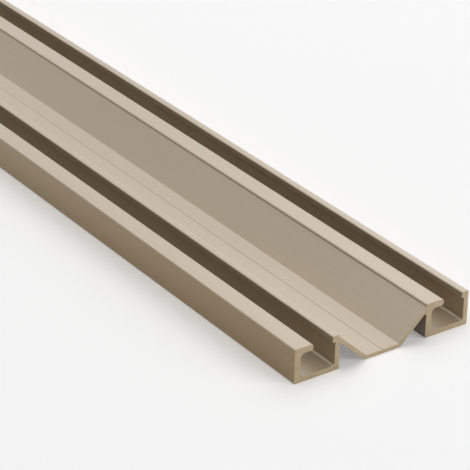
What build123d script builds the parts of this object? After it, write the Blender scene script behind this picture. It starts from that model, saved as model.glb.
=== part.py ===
"""One bar of extruded aluminium double track, lying on its underside.

The bar is one solid of constant section along Y. Seen from the near end (-Y),
the section runs from left (-X) to right (+X): a lipped channel, a shallow
trough with sloped sides, and the same lipped channel once more. Both
channels face the same way: the thicker wall with the wide lip is on the left
of each, and the plain wall with the small bead is on the right.

Millimetres, +Z up. The origin is in the middle of the underside.
"""
from build123d import *
import os
from math import acos, atan2, hypot, tan

# Stock
bar_length = 1000.0
section_height = 10.0

# Lipped channel, the same on both sides
channel_width = 14.0
channel_base = 1.5
lip_wall = 1.8
plain_wall = 1.4
lip_reach = 3.9
lip_thickness = 1.8
bead_reach = 0.8
bead_height = 1.8

# Trough between the channels
trough_side_run = 8.3
trough_step = 0.756
trough_underside_width = 11.4
web_thickness = 1.1

# Line scribed along the middle of the trough floor, to centre a drill on
scribe_width = 0.3
scribe_depth = 0.06

# Roundings
corner_radius = 0.3
trough_edge_radius = 0.5
step_root_radius = 0.2
lip_tip_radius = 0.7
bead_radius = 0.4
lip_root_radius = 1.5
channel_root_radius = 0.8
trough_root_radius = 0.4
bend_inner_radius = 0.4

# Derived places across the section, from the left edge of the bar
channel_pitch = channel_width + 2 * trough_side_run + trough_underside_width
bar_width = channel_pitch + channel_width
bar_middle = bar_width / 2
lip_end = lip_wall + lip_reach
plain_wall_inside = channel_width - plain_wall
bead_end = plain_wall_inside - bead_reach
lip_underside = section_height - lip_thickness
bead_underside = section_height - bead_height

# Derived slope of the trough's left side, which meets the plain wall a step below the top
side_root_high = section_height - trough_step
side_span = hypot(trough_side_run, side_root_high)
side_angle = acos(web_thickness / side_span) - atan2(trough_side_run, side_root_high)
side_slope = tan(side_angle)
side_root_low = trough_side_run * side_slope
trough_crease = channel_width + (side_root_high - web_thickness) / side_slope
trough_heel = channel_width + trough_side_run
bend_outer_radius = bend_inner_radius + web_thickness


def mirrored(points):
    """The same points on the other side of the bar's middle, in reverse order."""
    return [(bar_width - x, z) for x, z in reversed(points)]


def channel_outline(left):
    """Corner points of one lipped channel whose outer left face is at the given place."""
    points = [
        (0, 0),
        (channel_width, 0),
        (channel_width, section_height),
        (bead_end, section_height),
        (bead_end, bead_underside),
        (plain_wall_inside, bead_underside),
        (plain_wall_inside, channel_base),
        (lip_wall, channel_base),
        (lip_wall, lip_underside),
        (lip_end, lip_underside),
        (lip_end, section_height),
        (0, section_height),
    ]
    return [(left + x, z) for x, z in points]


def corner(sketch, x, z):
    """The corner of the section that lies nearest to a place."""
    return sketch.vertices().sort_by_distance((x, z, 0))[0]


# The section is drawn on the far end, from the bar's left edge, and extruded to the near end
far_end = Plane(origin=(-bar_middle, bar_length / 2, 0), x_dir=(1, 0, 0), z_dir=(0, -1, 0))

with BuildPart() as profile:
    with BuildSketch(far_end) as section:
        # Two channels, repeated and not mirrored
        for channel_left in (0, channel_pitch):
            with BuildLine():
                Polyline(*channel_outline(channel_left), close=True)
            make_face()

        # Trough, let into the middle of the wall on each side
        side_points = [
            (channel_width - plain_wall / 2, side_root_low),
            (channel_width, side_root_low),
            (trough_heel, 0),
        ]
        floor_points = [
            (channel_width - plain_wall / 2, side_root_high),
            (channel_width, side_root_high),
            (trough_crease, web_thickness),
        ]
        underside = side_points + mirrored(side_points)
        topside = floor_points + mirrored(floor_points)
        with BuildLine():
            Polyline(*underside, *reversed(topside), close=True)
        make_face()

        # Scribed line, a small V
        with BuildLine():
            Polyline(
                (bar_middle - scribe_width / 2, web_thickness),
                (bar_middle, web_thickness - scribe_depth),
                (bar_middle + scribe_width / 2, web_thickness),
                close=True,
            )
        make_face(mode=Mode.SUBTRACT)

        # Outer top corners of the bar
        for x in (0, bar_width):
            fillet(corner(section, x, section_height), radius=corner_radius)

        # Roundings that both channels have
        for left in (0, channel_pitch):
            for x in (left, left + channel_width):
                fillet(corner(section, x, 0), radius=corner_radius)
            for place in ((left + lip_end, section_height), (left + lip_end, lip_underside)):
                fillet(corner(section, *place), radius=lip_tip_radius)
            for place in ((left + bead_end, section_height), (left + bead_end, bead_underside)):
                fillet(corner(section, *place), radius=bead_radius)
            fillet(corner(section, left + lip_wall, lip_underside), radius=lip_root_radius)
            for place in ((left + lip_wall, channel_base), (left + plain_wall_inside, channel_base)):
                fillet(corner(section, *place), radius=channel_root_radius)

        # Roundings of the trough, on its left side and mirrored on its right
        trough_rounds = (
            (channel_width, section_height, trough_edge_radius),
            (channel_width, side_root_low, trough_root_radius),
            (channel_width, side_root_high, step_root_radius),
            (trough_crease, web_thickness, bend_inner_radius),
            (trough_heel, 0, bend_outer_radius),
        )
        for x, z, radius in trough_rounds:
            fillet(corner(section, x, z), radius=radius)
            fillet(corner(section, bar_width - x, z), radius=radius)
    extrude(amount=bar_length)
profile.part.label = "profile"

os.makedirs("parts", exist_ok=True)
export_step(profile.part, "parts/profile.step")
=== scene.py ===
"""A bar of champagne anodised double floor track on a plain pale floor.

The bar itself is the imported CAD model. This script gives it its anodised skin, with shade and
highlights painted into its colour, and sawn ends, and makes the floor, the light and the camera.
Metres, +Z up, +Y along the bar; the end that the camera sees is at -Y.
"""

from math import cos, radians, sin

import bpy
from mathutils import Matrix, Vector


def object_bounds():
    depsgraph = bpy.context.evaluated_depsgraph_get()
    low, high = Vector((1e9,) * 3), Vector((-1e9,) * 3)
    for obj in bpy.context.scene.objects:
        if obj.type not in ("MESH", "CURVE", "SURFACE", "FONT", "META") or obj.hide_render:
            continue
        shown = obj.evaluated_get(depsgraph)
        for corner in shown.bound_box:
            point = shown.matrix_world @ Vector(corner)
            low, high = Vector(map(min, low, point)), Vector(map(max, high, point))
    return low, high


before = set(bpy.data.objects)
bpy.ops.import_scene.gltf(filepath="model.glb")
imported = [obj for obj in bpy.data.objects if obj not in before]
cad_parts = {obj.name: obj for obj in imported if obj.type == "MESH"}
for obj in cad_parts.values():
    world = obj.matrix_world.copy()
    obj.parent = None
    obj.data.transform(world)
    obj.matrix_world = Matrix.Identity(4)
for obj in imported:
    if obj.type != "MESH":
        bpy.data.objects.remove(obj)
cad_low, cad_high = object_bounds()

# View, measured on the photograph: pixels, metres and angles
IMAGE_SIDE = 470
FOCAL_LENGTH = 2259
CORNER_X, CORNER_Y = 294.0, 384.7
CORNER_DEPTH = 0.5641
AZIMUTH = radians(-35.25)
ELEVATION = radians(27.52)
ROLL = radians(0.96)
SENSOR = 36

# Anodised skin, linear colours. The tints multiply the skin's colour to paint shade and a highlight
# on it
SKIN_LIGHT = (0.442, 0.347, 0.232)
SKIN_DARK = (0.402, 0.314, 0.206)
# Painted shade: both outer sides, below their top rounding, darker and more golden than the rest of
# the skin
SIDE_SHADE_TINT = (0.72, 0.53, 0.12)
# Painted shade: surfaces that don't face up, low down and within the trough's width, in the wedges
# under the trough
RECESS_SHADE_TINT = (0.42, 0.32, 0.2)
# Painted shade: darker at the very bottom of the bar, on its bottom rounding and underside, next to
# the floor
BOTTOM_SHADE_TINT = (0.35, 0.32, 0.28)
# Painted highlight: the roundings of the top edges lighter
EDGE_HIGHLIGHT_TINT = (1.06, 1.07, 1.1)
# Painted shade: the scribed groove down the middle darker, and the same strip on the underside
SCRIBED_SHADE_TINT = (0.5, 0.48, 0.45)
SKIN_METALLIC = 0.2
SKIN_ROUGHNESS = (0.36, 0.44)
COAT_WEIGHT = 1.0
COAT_ROUGHNESS = 0.28

# Sawn ends, linear colours
SAWN_LIGHT = (0.51, 0.385, 0.218)
SAWN_DARK = (0.4, 0.295, 0.157)
SAWN_ROUGHNESS = (0.38, 0.5)
SAW_ANGLE = radians(24)

# Noise of each kind, cells per metre along X, Y and Z
FINE_LINES = (2600, 1.5, 2600)
BROAD_LINES = (430, 2.5, 430)
SKIN_CLOUDS = (60, 14, 60)
SKIN_GRAIN = (5200, 5200, 5200)
SAW_MARKS = (120, 1, 3200)
SAWN_CLOUDS = (350, 350, 350)
NOISE_DETAIL = 2.0

# Range of mixed noise over which a surface goes from its dark to its light colour
TONE_RANGE = (0.35, 0.65)

# Bumps, depth in metres and strength
FINE_BUMP = (0.00001, 0.3)
BROAD_BUMP = (0.00002, 0.15)
GRAIN_BUMP = (0.000004, 0.4)
SAW_BUMP = (0.00002, 0.35)

# Floor and room. Each looks bright by itself; the floor does so more beyond the lamps' reach
WHITE = (1, 1, 1, 1)
FLOOR_COLOUR = (0.95, 0.95, 0.95, 1)
FLOOR_ROUGHNESS = 0.9
FLOOR_SIDE = 60.0
FLOOR_LIT_REACH = (1.3, 3.3)
FLOOR_BRIGHTNESS = (0.25, 0.93)
ROOM_BRIGHTNESS = 1.0

# Soft square lamps around the near end: azimuth and elevation in degrees, power in watts
LAMP_DISTANCE = 2.0
LAMP_SIZE = 1.6
LAMPS = (
    ("lamp_right", 60, 30, 6.0),
    ("lamp_right_high", 45, 58, 9.5),
    ("lamp_back", 5, 50, 5.4),
    ("lamp_left", -60, 58, 9.9),
    ("lamp_front", 150, 25, 23.3),
)

# Feature sizes in the bar's section
EDGE_ROUNDING = 0.0003
SIDE_DEPTH = 0.0001
SAWN_EDGE = 0.00012
SCRIBED_LINE_HALF = 0.00016
# The trough's half width and the height up to which the recesses under it get painted shade
TROUGH_HALF_WIDTH = 0.0141
RECESS_TOP = 0.0083


def principled(name):
    """A new material, its node tree and its Principled shader."""
    material = bpy.data.materials.new(name)
    material.use_nodes = True
    return material, material.node_tree, material.node_tree.nodes["Principled BSDF"]


def node(tree, kind, **settings):
    """A new shader node with the given properties."""
    made = tree.nodes.new(kind)
    for name, value in settings.items():
        setattr(made, name, value)
    return made


def feed(tree, socket, value):
    """Gives a socket a number, a colour or another socket's output."""
    if isinstance(value, bpy.types.NodeSocket):
        tree.links.new(value, socket)
    elif isinstance(value, tuple) and len(socket.default_value) == len(value) + 1:
        socket.default_value = (*value, 1)
    else:
        socket.default_value = value


def maths(tree, operation, *values):
    """One arithmetic step on numbers or outputs."""
    made = node(tree, "ShaderNodeMath", operation=operation)
    for socket, value in zip(made.inputs, values):
        feed(tree, socket, value)
    return made.outputs[0]


def blended(tree, *parts):
    """The weighted sum of some outputs, each given as a weight and an output."""
    total = 0.0
    for weight, value in parts:
        total = maths(tree, "MULTIPLY_ADD", value, weight, total)
    return total


def spread(tree, value, low, high, new_low, new_high):
    """Maps low..high to new_low..new_high, and holds the ends."""
    mapped = node(tree, "ShaderNodeMapRange")
    mapped.inputs["From Min"].default_value = low
    mapped.inputs["From Max"].default_value = high
    mapped.inputs["To Min"].default_value = new_low
    mapped.inputs["To Max"].default_value = new_high
    feed(tree, mapped.inputs["Value"], value)
    return mapped.outputs["Result"]


def mixed(tree, factor, first, second, kind="RGBA", blend="MIX"):
    """Mixes two numbers, vectors or colours of one kind, each a value or an output."""
    made = node(tree, "ShaderNodeMix", data_type=kind, blend_type=blend)
    socket_type = {"FLOAT": "VALUE"}.get(kind, kind)
    ends = [socket for socket in made.inputs if socket.type == socket_type and socket.name in "AB"]
    feed(tree, made.inputs["Factor"], factor)
    feed(tree, ends[0], first)
    feed(tree, ends[1], second)
    return next(socket for socket in made.outputs if socket.type == socket_type)


def axes(tree, vector):
    """The X, Y and Z outputs of a vector."""
    split = node(tree, "ShaderNodeSeparateXYZ")
    tree.links.new(vector, split.inputs[0])
    return split.outputs


def noise(tree, scale, turn=0.0):
    """Noise in the bar's own frame: cells per metre on each axis, turned about Y."""
    place = node(tree, "ShaderNodeTexCoord")
    turned = node(tree, "ShaderNodeMapping")
    turned.inputs["Rotation"].default_value = (0, turn, 0)
    stretched = node(tree, "ShaderNodeMapping")
    stretched.inputs["Scale"].default_value = scale
    made = node(tree, "ShaderNodeTexNoise")
    made.inputs["Scale"].default_value = 1.0
    made.inputs["Detail"].default_value = NOISE_DETAIL
    tree.links.new(place.outputs["Object"], turned.inputs["Vector"])
    tree.links.new(turned.outputs["Vector"], stretched.inputs["Vector"])
    tree.links.new(stretched.outputs["Vector"], made.inputs["Vector"])
    return made.outputs["Fac"]


def bumped(tree, height, depth, strength, under):
    """A bump of the given depth in metres, over another normal."""
    made = node(tree, "ShaderNodeBump")
    made.inputs["Strength"].default_value = strength
    made.inputs["Distance"].default_value = depth
    feed(tree, made.inputs["Height"], height)
    tree.links.new(under, made.inputs["Normal"])
    return made.outputs["Normal"]


def overlap(tree, first, *others):
    """Where all the given masks hold."""
    held = first
    for mask in others:
        held = maths(tree, "MULTIPLY", held, mask)
    return held


def sawn_mask(tree):
    """Where the surface is a sawn end."""
    place = node(tree, "ShaderNodeTexCoord")
    _, normal_y, _ = axes(tree, place.outputs["Normal"])
    return spread(tree, maths(tree, "ABSOLUTE", normal_y), 0.4, 0.7, 0, 1)


def painted_shade_and_highlight(tree):
    """The painted shade and painted highlight on the skin, each as the mask of where it is and its
    tint.
    """
    place = node(tree, "ShaderNodeTexCoord")
    x, _, z = axes(tree, place.outputs["Object"])
    _, _, normal_z = axes(tree, place.outputs["Normal"])
    aside = maths(tree, "ABSOLUTE", x)
    # Painted shade on the outer sides, below the top rounding
    side_start = cad_high.x - SIDE_DEPTH
    below_rounding = spread(tree, z, cad_high.z - 2 * EDGE_ROUNDING, cad_high.z, 1, 0)
    at_side = spread(tree, aside, side_start - SIDE_DEPTH, side_start, 0, 1)
    outer_side_shade = overlap(tree, at_side, below_rounding)
    # Painted shade in the recesses under the trough: not facing up, low, within its width
    at_trough = spread(tree, aside, TROUGH_HALF_WIDTH, TROUGH_HALF_WIDTH + SIDE_DEPTH, 1, 0)
    low = spread(tree, z, RECESS_TOP - EDGE_ROUNDING, RECESS_TOP, 1, 0)
    not_upward = spread(tree, normal_z, 0, 0.1, 1, 0)
    recess_shade = overlap(tree, at_trough, low, not_upward)
    # Painted highlight on the tilted roundings at the top
    near_top = spread(tree, z, cad_high.z - 2 * EDGE_ROUNDING, cad_high.z - EDGE_ROUNDING, 0, 1)
    tilted = spread(tree, normal_z, 0.9, 0.98, 1, 0)
    edge_highlight = overlap(tree, near_top, tilted)
    # Painted shade along the bottom of the bar
    bottom_shade = spread(tree, z, 0, EDGE_ROUNDING, 1, 0)
    # Painted shade in the scribed line and the strip under it
    scribed_shade = spread(tree, aside, SCRIBED_LINE_HALF / 2, SCRIBED_LINE_HALF, 1, 0)
    return (
        (outer_side_shade, SIDE_SHADE_TINT),
        (recess_shade, RECESS_SHADE_TINT),
        (edge_highlight, EDGE_HIGHLIGHT_TINT),
        (bottom_shade, BOTTOM_SHADE_TINT),
        (scribed_shade, SCRIBED_SHADE_TINT),
    )


def skin_look(tree, smooth):
    """Colour, roughness and normal of the skin, with its draw lines and its painted shade and
    highlight.
    """
    fine = noise(tree, FINE_LINES)
    broad = noise(tree, BROAD_LINES)
    cloud = noise(tree, SKIN_CLOUDS)
    grain = noise(tree, SKIN_GRAIN)
    tone = blended(tree, (0.35, broad), (0.25, fine), (0.4, cloud))
    colour = mixed(tree, spread(tree, tone, *TONE_RANGE, 0, 1), SKIN_DARK, SKIN_LIGHT)
    for mask, tint in painted_shade_and_highlight(tree):
        colour = mixed(tree, mask, colour, tint, blend="MULTIPLY")
    roughness = spread(tree, maths(tree, "ADD", fine, cloud), 0.7, 1.3, *SKIN_ROUGHNESS)
    normal = bumped(tree, fine, *FINE_BUMP, smooth)
    normal = bumped(tree, broad, *BROAD_BUMP, normal)
    return colour, roughness, bumped(tree, grain, *GRAIN_BUMP, normal)


def sawn_look(tree, smooth):
    """Colour, roughness and normal of a sawn end, with the marks of the blade."""
    marks = noise(tree, SAW_MARKS, SAW_ANGLE)
    cloud = noise(tree, SAWN_CLOUDS)
    tone = blended(tree, (0.6, marks), (0.4, cloud))
    colour = mixed(tree, spread(tree, tone, *TONE_RANGE, 0, 1), SAWN_DARK, SAWN_LIGHT)
    roughness = spread(tree, marks, 0.3, 0.7, *SAWN_ROUGHNESS)
    return colour, roughness, bumped(tree, marks, *SAW_BUMP, smooth)


def anodised_material():
    """Satin champagne skin with faint draw lines along the bar and painted shade and highlight, and
    sawn ends across it.
    """
    material, tree, shader = principled("champagne_anodised")
    shader.inputs["Metallic"].default_value = SKIN_METALLIC
    shader.inputs["Coat Weight"].default_value = COAT_WEIGHT
    shader.inputs["Coat Roughness"].default_value = COAT_ROUGHNESS
    softened = node(tree, "ShaderNodeBevel", samples=4)
    softened.inputs["Radius"].default_value = SAWN_EDGE
    end = sawn_mask(tree)
    skin_colour, skin_roughness, skin_normal = skin_look(tree, softened.outputs["Normal"])
    sawn_colour, sawn_roughness, sawn_normal = sawn_look(tree, softened.outputs["Normal"])
    feed(tree, shader.inputs["Base Color"], mixed(tree, end, skin_colour, sawn_colour))
    feed(tree, shader.inputs["Roughness"], mixed(tree, end, skin_roughness, sawn_roughness, "FLOAT"))
    feed(tree, shader.inputs["Normal"], mixed(tree, end, skin_normal, sawn_normal, "VECTOR"))
    return material


def dress_bar():
    """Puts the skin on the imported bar."""
    skin = anodised_material()
    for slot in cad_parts["profile"].material_slots:
        slot.material = skin


def shown(tree, brightness):
    """A brightness that the camera, metal and glass see, and that lights nothing else."""
    path = node(tree, "ShaderNodeLightPath")
    seen = maths(tree, "ADD", path.outputs["Is Camera Ray"], path.outputs["Is Glossy Ray"])
    seen = maths(tree, "ADD", seen, path.outputs["Is Transmission Ray"])
    return maths(tree, "MULTIPLY", maths(tree, "MINIMUM", seen, 1.0), brightness)


def make_floor():
    """One wide plain floor under the bar."""
    mesh = bpy.data.meshes.new("floor")
    half = FLOOR_SIDE / 2
    corners = [(-half, -half), (half, -half), (half, half), (-half, half)]
    mesh.from_pydata([(x, y, cad_low.z) for x, y in corners], [], [(0, 1, 2, 3)])
    floor = bpy.data.objects.new("floor", mesh)
    bpy.context.scene.collection.objects.link(floor)
    material, tree, shader = principled("floor_plain")
    shader.inputs["Base Color"].default_value = FLOOR_COLOUR
    shader.inputs["Roughness"].default_value = FLOOR_ROUGHNESS
    shader.inputs["Specular IOR Level"].default_value = 0.0
    shader.inputs["Emission Color"].default_value = WHITE
    place = node(tree, "ShaderNodeTexCoord")
    away = node(tree, "ShaderNodeVectorMath", operation="LENGTH")
    tree.links.new(place.outputs["Object"], away.inputs[0])
    brightness = spread(tree, away.outputs["Value"], *FLOOR_LIT_REACH, *FLOOR_BRIGHTNESS)
    feed(tree, shader.inputs["Emission Strength"], shown(tree, brightness))
    mesh.materials.append(material)


def make_room():
    """A pale room all around, seen but giving no light of its own."""
    world = bpy.data.worlds.new("room")
    world.use_nodes = True
    tree = world.node_tree
    background = tree.nodes["Background"]
    background.inputs["Color"].default_value = WHITE
    feed(tree, background.inputs["Strength"], shown(tree, ROOM_BRIGHTNESS))
    bpy.context.scene.world = world


def soft_lamp(name, azimuth, elevation, power):
    """A square soft lamp that faces the near end of the bar."""
    lamp = bpy.data.lights.new(name, "AREA")
    lamp.shape = "SQUARE"
    lamp.size = LAMP_SIZE
    lamp.energy = power
    turn, rise = radians(azimuth), radians(elevation)
    away = Vector((sin(turn) * cos(rise), cos(turn) * cos(rise), sin(rise)))
    placed = bpy.data.objects.new(name, lamp)
    placed.location = Vector((0, cad_low.y, 0)) + away * LAMP_DISTANCE
    placed.rotation_euler = (-away).to_track_quat("-Z", "Y").to_euler()
    placed.visible_camera = False
    bpy.context.scene.collection.objects.link(placed)


def make_camera():
    """The photograph's camera, placed from the bar's near lower left corner."""
    back = Vector((sin(AZIMUTH) * cos(ELEVATION), -cos(AZIMUTH) * cos(ELEVATION), sin(ELEVATION)))
    level = (-back).cross(Vector((0, 0, 1))).normalized()
    above = level.cross(-back)
    right = level * cos(ROLL) + above * sin(ROLL)
    up = above * cos(ROLL) - level * sin(ROLL)
    aside = (CORNER_X - IMAGE_SIDE / 2) / FOCAL_LENGTH * CORNER_DEPTH
    below = (CORNER_Y - IMAGE_SIDE / 2) / FOCAL_LENGTH * CORNER_DEPTH
    place = cad_low - right * aside + up * below + back * CORNER_DEPTH
    data = bpy.data.cameras.new("camera")
    data.sensor_width = SENSOR
    data.lens = SENSOR * FOCAL_LENGTH / IMAGE_SIDE
    data.clip_start = 0.01
    data.clip_end = 100
    camera = bpy.data.objects.new("camera", data)
    camera.matrix_world = Matrix.Translation(place) @ Matrix((right, up, back)).transposed().to_4x4()
    bpy.context.scene.collection.objects.link(camera)
    bpy.context.scene.camera = camera


dress_bar()
make_floor()
make_room()
for lamp_settings in LAMPS:
    soft_lamp(*lamp_settings)
make_camera()
bpy.context.scene.view_settings.view_transform = "Standard"
